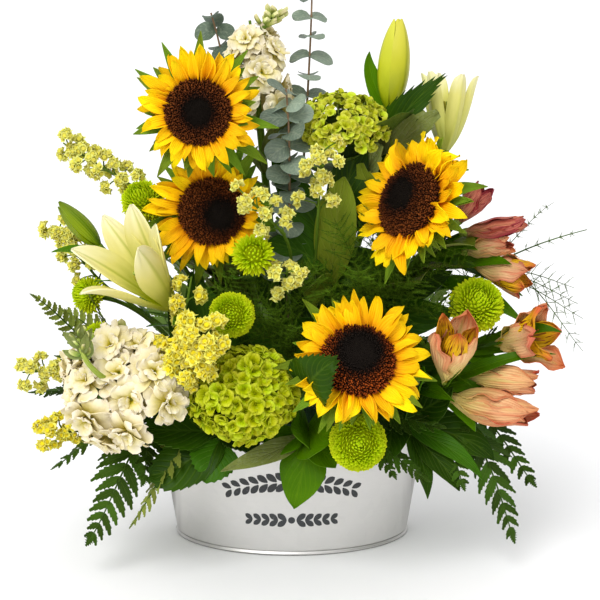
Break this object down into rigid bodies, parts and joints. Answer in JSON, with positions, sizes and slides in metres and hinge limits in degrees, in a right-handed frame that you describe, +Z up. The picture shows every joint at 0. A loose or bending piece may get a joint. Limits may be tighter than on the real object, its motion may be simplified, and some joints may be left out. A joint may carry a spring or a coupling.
{
  "type": "flower arrangement in a metal container",
  "caption": "Front-facing arrangement of sunflowers, lilies, stock and greenery in floral foam inside an oval galvanised metal tub.",
  "frame": {"origin": "centre of the tub's flat underside, on the surface that it stands on", "axes": "+Z up, +X along the tub's long side to the right as seen from the front, -Y towards the front, where the flowers face"},
  "size_m": [0.4737, 0.302, 0.467],
  "materials": {
    "galvanised": "satin",
    "clear_plastic": "gloss",
    "foam_green": "matte",
    "sun_gold": "matte",
    "lily_cream": "matte",
    "bud_green": "matte",
    "stock_cream": "matte",
    "hydrangea_green": "matte",
    "pom_green": "matte",
    "statice_yellow": "matte",
    "salmon": "matte",
    "silver_green": "matte",
    "fern_green": "matte",
    "plume_green": "matte",
    "leaf_green": "matte"
  },
  "bodies": {
    "root": {"alstroemeria_buds": "salmon", "alstroemeria_cup": "salmon", "alstroemeria_middle": "salmon", "alstroemeria_open": "salmon", "alstroemeria_upper": "salmon", "card_pick": "clear_plastic", "eucalyptus_column": "silver_green", "eucalyptus_left": "silver_green", "eucalyptus_tall": "silver_green", "fern_back": "fern_green", "fern_back_left": "fern_green", "fern_back_right": "fern_green", "fern_front": "fern_green", "fern_left": "fern_green", "fern_left_low": "fern_green", "fern_low_left": "fern_green", "fern_low_left_thin": "fern_green", "fern_low_right": "fern_green", "fern_right": "fern_green", "floral_foam": "foam_green", "hydrangea_high": "hydrangea_green", "hydrangea_low": "hydrangea_green", "leaf_hanging": "leaf_green", "leaf_olive": "leaf_green", "leaf_over_sunflower": "leaf_green", "leaf_rim_right": "leaf_green", "leaf_serrated": "leaf_green", "leaf_upper_right": "leaf_green", "lily_bud_small": "bud_green", "lily_bud_tall": "bud_green", "lily_half_open": "lily_cream", "lily_open": "lily_cream", "plume_centre": "plume_green", "plume_left": "plume_green", "plume_right": "plume_green", "pom_behind_lily": "pom_green", "pom_behind_stock": "pom_green", "pom_centre": "pom_green", "pom_far_right": "pom_green", "pom_front": "pom_green", "pom_left": "pom_green", "pom_right": "pom_green", "pom_upper_left": "pom_green", "statice_centre": "statice_yellow", "statice_front": "statice_yellow", "statice_inner": "statice_yellow", "statice_left": "statice_yellow", "statice_low_left": "statice_yellow", "statice_middle": "statice_yellow", "statice_rim_left": "statice_yellow", "statice_upper_left": "statice_yellow", "stock_low": "stock_cream", "stock_tall": "stock_cream", "sunflower_front": "sun_gold", "sunflower_right": "sun_gold", "sunflower_second": "sun_gold", "sunflower_top": "sun_gold", "tub_base": "galvanised", "tub_liner": "clear_plastic", "tub_wall": "galvanised"}
  },
  "joints": []
}
